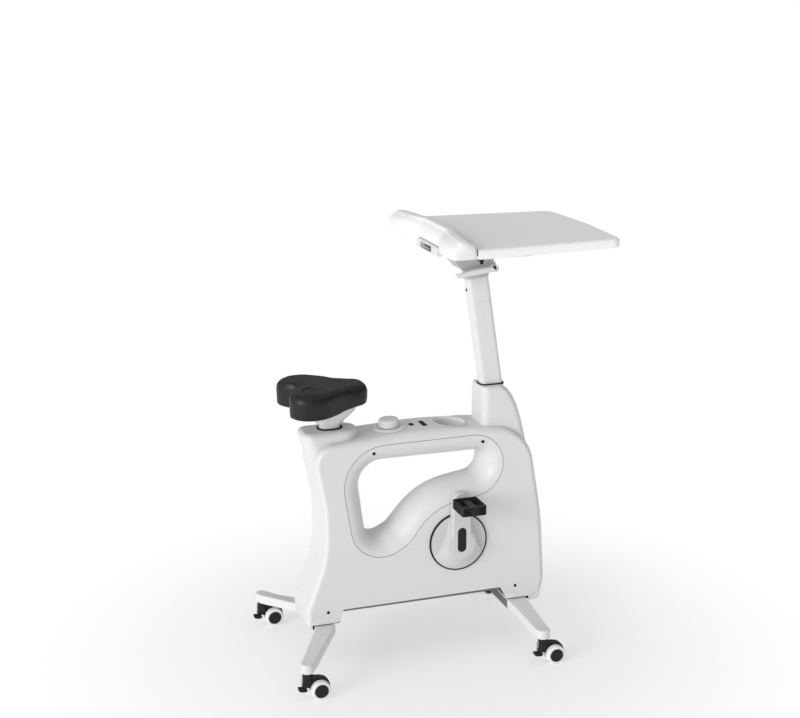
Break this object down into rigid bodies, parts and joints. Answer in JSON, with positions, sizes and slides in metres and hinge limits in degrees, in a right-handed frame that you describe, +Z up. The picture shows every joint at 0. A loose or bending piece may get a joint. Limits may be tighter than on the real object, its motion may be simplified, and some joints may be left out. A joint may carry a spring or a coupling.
{
  "type": "desk exercise bike",
  "caption": "Upright exercise bike in a clamshell body with a hand opening, a padded saddle, a height-adjustable desk on a leaning column and a wheeled base.",
  "frame": {"origin": "on the floor, below the middle of the bike's overall box", "axes": "+Z up, +X the way the rider faces, towards the desk's front edge, +Y to the rider's left"},
  "size_m": [0.907, 0.5444, 1.176],
  "materials": {
    "white_plastic": "fine satin texture",
    "white_painted_steel": "satin white paint",
    "pale_board": "satin, fine grain",
    "pale_pad": "soft skin over foam",
    "black_saddle": "satin skin over foam",
    "black_plastic": "satin moulded",
    "black_rubber": "matt",
    "bright_steel": "turned",
    "dark_painted_steel": "matt black paint",
    "grey_plastic": "satin moulded",
    "caster_tyre": "pale grey tread"
  },
  "bodies": {
    "bike_frame": {"base_rail": "dark_painted_steel", "seat_frame": "dark_painted_steel", "mast_tube": "dark_painted_steel", "crank_housing": "dark_painted_steel", "rear_leg_beam": "white_painted_steel", "front_leg_beam": "white_painted_steel", "right_shell": "white_plastic", "left_shell": "white_plastic", "right_trim": "white_plastic", "left_trim": "white_plastic", "saddle_neck_cover": "white_plastic", "mast_neck_cover": "white_plastic", "seat_gasket": "black_rubber", "mast_gasket": "black_rubber", "cup_holder": "white_plastic", "knob_base": "white_plastic", "display": "black_plastic", "drive_bracket": "dark_painted_steel", "flywheel_axle": "bright_steel", "drive_belt": "black_rubber"},
    "crankset": {"crank_axle": "bright_steel", "drive_pulley": "black_plastic", "right_crank": "white_plastic", "left_crank": "white_plastic", "right_pedal_spindle": "bright_steel", "left_pedal_spindle": "bright_steel"},
    "right_pedal_body": {"right_pedal": "black_plastic"},
    "left_pedal_body": {"left_pedal": "black_plastic"},
    "flywheel_body": {"flywheel": "bright_steel"},
    "knob_body": {"resistance_knob": "white_plastic"},
    "magnet_body": {"magnet_bracket": "black_plastic"},
    "button_body": {"mode_button": "black_plastic"},
    "seat": {"seat_post": "white_painted_steel", "saddle_bracket": "white_painted_steel", "saddle": "black_saddle"},
    "saddle_lever_body": {"saddle_lever": "black_plastic"},
    "desk_column": {"mast_column": "white_painted_steel", "desk_bracket": "dark_painted_steel"},
    "clamp_lever_body": {"clamp_lever": "grey_plastic"},
    "desk": {"desk_rails": "dark_painted_steel", "desktop": "pale_board", "arm_pad": "pale_pad", "lever_box": "white_plastic"},
    "height_lever_body": {"height_lever": "grey_plastic"},
    "rear_right_caster_fork": {"rear_right_caster_hood": "black_plastic"},
    "rear_right_caster_wheel_a_body": {"rear_right_caster_wheel_a": "caster_tyre"},
    "rear_right_caster_wheel_b_body": {"rear_right_caster_wheel_b": "caster_tyre"},
    "rear_right_caster_brake_body": {"rear_right_caster_brake": "black_plastic"},
    "rear_left_caster_fork": {"rear_left_caster_hood": "black_plastic"},
    "rear_left_caster_wheel_a_body": {"rear_left_caster_wheel_a": "caster_tyre"},
    "rear_left_caster_wheel_b_body": {"rear_left_caster_wheel_b": "caster_tyre"},
    "rear_left_caster_brake_body": {"rear_left_caster_brake": "black_plastic"},
    "front_right_caster_fork": {"front_right_caster_hood": "black_plastic"},
    "front_right_caster_wheel_a_body": {"front_right_caster_wheel_a": "caster_tyre"},
    "front_right_caster_wheel_b_body": {"front_right_caster_wheel_b": "caster_tyre"},
    "front_right_caster_brake_body": {"front_right_caster_brake": "black_plastic"},
    "front_left_caster_fork": {"front_left_caster_hood": "black_plastic"},
    "front_left_caster_wheel_a_body": {"front_left_caster_wheel_a": "caster_tyre"},
    "front_left_caster_wheel_b_body": {"front_left_caster_wheel_b": "caster_tyre"},
    "front_left_caster_brake_body": {"front_left_caster_brake": "black_plastic"}
  },
  "joints": [
    {"name": "crank_spin", "type": "hinge", "parent": "bike_frame", "child": "crankset", "pos_m": [0.0545, 0, 0.31], "axis": [0, 1, 0], "continuous": true},
    {"name": "right_pedal_spin", "type": "hinge", "parent": "crankset", "child": "right_pedal_body", "pos_m": [0.0545, -0.155, 0.438], "axis": [0, 1, 0], "continuous": true},
    {"name": "left_pedal_spin", "type": "hinge", "parent": "crankset", "child": "left_pedal_body", "pos_m": [0.0545, 0.155, 0.182], "axis": [0, 1, 0], "continuous": true},
    {"name": "flywheel_spin", "type": "hinge", "parent": "bike_frame", "child": "flywheel_body", "pos_m": [-0.1665, 0, 0.222], "axis": [0, 1, 0], "continuous": true},
    {"name": "resistance_knob_turn", "type": "hinge", "parent": "bike_frame", "child": "knob_body", "pos_m": [-0.1195, 0, 0.63039], "axis": [-0.0292, 0, 0.9996], "range_deg": [-245, 0]},
    {"name": "magnet_swing", "type": "hinge", "parent": "bike_frame", "child": "magnet_body", "pos_m": [-0.0735, 0, 0.19], "axis": [0, 1, 0], "range_deg": [-6, 0]},
    {"name": "mode_button_press", "type": "slide", "parent": "bike_frame", "child": "button_body", "axis": [0.0292, 0, -0.9996], "range_m": [0, 0.0015], "stiffness_N_per_m": 300},
    {"name": "seat_height", "type": "slide", "parent": "bike_frame", "child": "seat", "axis": [0, 0, 1], "range_m": [0, 0.17]},
    {"name": "saddle_lever_lift", "type": "hinge", "parent": "seat", "child": "saddle_lever_body", "pos_m": [-0.2815, 0.042, 0.689], "axis": [1, 0, 0], "range_deg": [0, 10], "stiffness_Nm_per_rad": 0.4},
    {"name": "desk_height", "type": "slide", "parent": "bike_frame", "child": "desk_column", "axis": [-0.1516, 0, 0.9884], "range_m": [-0.12, 0.1]},
    {"name": "clamp_lever_turn", "type": "hinge", "parent": "desk_column", "child": "clamp_lever_body", "pos_m": [0.1575, -0.05, 1.059], "axis": [0, -1, 0], "range_deg": [0, 90]},
    {"name": "desk_slide", "type": "slide", "parent": "desk_column", "child": "desk", "axis": [1, 0, 0], "range_m": [-0.08, 0.04]},
    {"name": "height_lever_lift", "type": "hinge", "parent": "desk", "child": "height_lever_body", "pos_m": [0.0285, 0, 1.1128], "axis": [0, 1, 0], "range_deg": [0, 8], "stiffness_Nm_per_rad": 0.4},
    {"name": "rear_right_caster_swivel", "type": "hinge", "parent": "bike_frame", "child": "rear_right_caster_fork", "pos_m": [-0.4225, -0.24, 0.0717], "axis": [0, 0, 1], "continuous": true},
    {"name": "rear_right_caster_wheel_a_spin", "type": "hinge", "parent": "rear_right_caster_fork", "child": "rear_right_caster_wheel_a_body", "pos_m": [-0.3915, -0.24, 0.0258], "axis": [0, 1, 0], "continuous": true},
    {"name": "rear_right_caster_wheel_b_spin", "type": "hinge", "parent": "rear_right_caster_fork", "child": "rear_right_caster_wheel_b_body", "pos_m": [-0.3915, -0.24, 0.0258], "axis": [0, 1, 0], "continuous": true},
    {"name": "rear_right_caster_brake_press", "type": "hinge", "parent": "rear_right_caster_fork", "child": "rear_right_caster_brake_body", "pos_m": [-0.429, -0.24, 0.033], "axis": [0, -1, 0], "range_deg": [0, 12]},
    {"name": "rear_left_caster_swivel", "type": "hinge", "parent": "bike_frame", "child": "rear_left_caster_fork", "pos_m": [-0.4225, 0.24, 0.0717], "axis": [0, 0, 1], "continuous": true},
    {"name": "rear_left_caster_wheel_a_spin", "type": "hinge", "parent": "rear_left_caster_fork", "child": "rear_left_caster_wheel_a_body", "pos_m": [-0.3915, 0.24, 0.0258], "axis": [0, 1, 0], "continuous": true},
    {"name": "rear_left_caster_wheel_b_spin", "type": "hinge", "parent": "rear_left_caster_fork", "child": "rear_left_caster_wheel_b_body", "pos_m": [-0.3915, 0.24, 0.0258], "axis": [0, 1, 0], "continuous": true},
    {"name": "rear_left_caster_brake_press", "type": "hinge", "parent": "rear_left_caster_fork", "child": "rear_left_caster_brake_body", "pos_m": [-0.429, 0.24, 0.033], "axis": [0, -1, 0], "range_deg": [0, 12]},
    {"name": "front_right_caster_swivel", "type": "hinge", "parent": "bike_frame", "child": "front_right_caster_fork", "pos_m": [0.2371, -0.243, 0.0717], "axis": [0, 0, 1], "continuous": true},
    {"name": "front_right_caster_wheel_a_spin", "type": "hinge", "parent": "front_right_caster_fork", "child": "front_right_caster_wheel_a_body", "pos_m": [0.2681, -0.243, 0.0258], "axis": [0, 1, 0], "continuous": true},
    {"name": "front_right_caster_wheel_b_spin", "type": "hinge", "parent": "front_right_caster_fork", "child": "front_right_caster_wheel_b_body", "pos_m": [0.2681, -0.243, 0.0258], "axis": [0, 1, 0], "continuous": true},
    {"name": "front_right_caster_brake_press", "type": "hinge", "parent": "front_right_caster_fork", "child": "front_right_caster_brake_body", "pos_m": [0.2306, -0.243, 0.033], "axis": [0, -1, 0], "range_deg": [0, 12]},
    {"name": "front_left_caster_swivel", "type": "hinge", "parent": "bike_frame", "child": "front_left_caster_fork", "pos_m": [0.2371, 0.243, 0.0717], "axis": [0, 0, 1], "continuous": true},
    {"name": "front_left_caster_wheel_a_spin", "type": "hinge", "parent": "front_left_caster_fork", "child": "front_left_caster_wheel_a_body", "pos_m": [0.2681, 0.243, 0.0258], "axis": [0, 1, 0], "continuous": true},
    {"name": "front_left_caster_wheel_b_spin", "type": "hinge", "parent": "front_left_caster_fork", "child": "front_left_caster_wheel_b_body", "pos_m": [0.2681, 0.243, 0.0258], "axis": [0, 1, 0], "continuous": true},
    {"name": "front_left_caster_brake_press", "type": "hinge", "parent": "front_left_caster_fork", "child": "front_left_caster_brake_body", "pos_m": [0.2306, 0.243, 0.033], "axis": [0, -1, 0], "range_deg": [0, 12]}
  ],
  "couplings": [
    {"joint": "flywheel_spin", "follows": "crank_spin", "ratio": 5.2912},
    {"joint": "magnet_swing", "follows": "resistance_knob_turn", "ratio": 0.024489}
  ]
}
